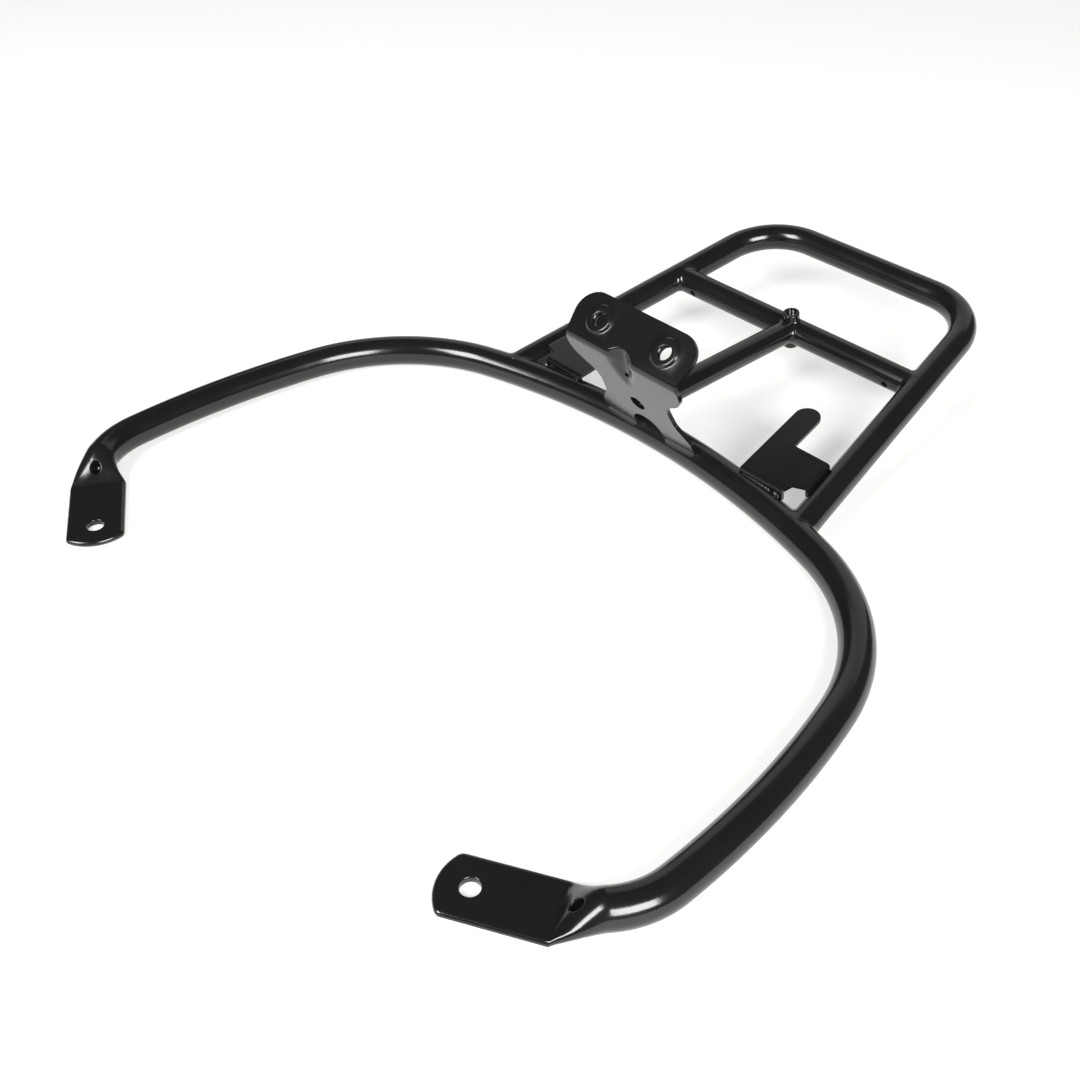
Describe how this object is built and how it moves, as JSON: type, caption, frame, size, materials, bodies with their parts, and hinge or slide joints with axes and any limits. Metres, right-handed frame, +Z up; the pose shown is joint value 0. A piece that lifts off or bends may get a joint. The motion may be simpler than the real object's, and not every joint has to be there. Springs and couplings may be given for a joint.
{
  "type": "scooter rear luggage rack",
  "caption": "Welded black tube hoop with flattened bolt-on ends, a sloping rear rack loop with crossbar and centre strut, a pressed mounting bracket and finger plates for a top case.",
  "frame": {"origin": "middle of the outside box at floor level, under the hoop that lies flat on the floor", "axes": "+Z up, +Y rearwards along the rack, +X towards the side that is right of the rack when it is seen from the hoop's open front; the part is a mirror image about the YZ plane"},
  "size_m": [0.4444, 0.4954, 0.0951],
  "materials": {
    "tube_coat": "semi-gloss black powder coat on steel tube",
    "sheet_coat": "semi-gloss black powder coat on pressed steel sheet",
    "weld_coat": "semi-gloss black powder coat over weld beads"
  },
  "bodies": {
    "root": {"bracket_weld_left": "weld_coat", "bracket_weld_right": "weld_coat", "bush_weld": "weld_coat", "case_plate_left": "sheet_coat", "case_plate_right": "sheet_coat", "centre_strut": "tube_coat", "crossbar_weld_left": "weld_coat", "crossbar_weld_right": "weld_coat", "grab_hoop": "tube_coat", "leg_weld_left": "weld_coat", "leg_weld_right": "weld_coat", "lip_weld_left": "weld_coat", "lip_weld_right": "weld_coat", "mounting_bracket": "sheet_coat", "rack_bush": "tube_coat", "rack_crossbar": "tube_coat", "rack_loop": "tube_coat", "side_weld_left": "weld_coat", "side_weld_right": "weld_coat", "strut_weld_front": "weld_coat", "strut_weld_rear": "weld_coat"}
  },
  "joints": []
}
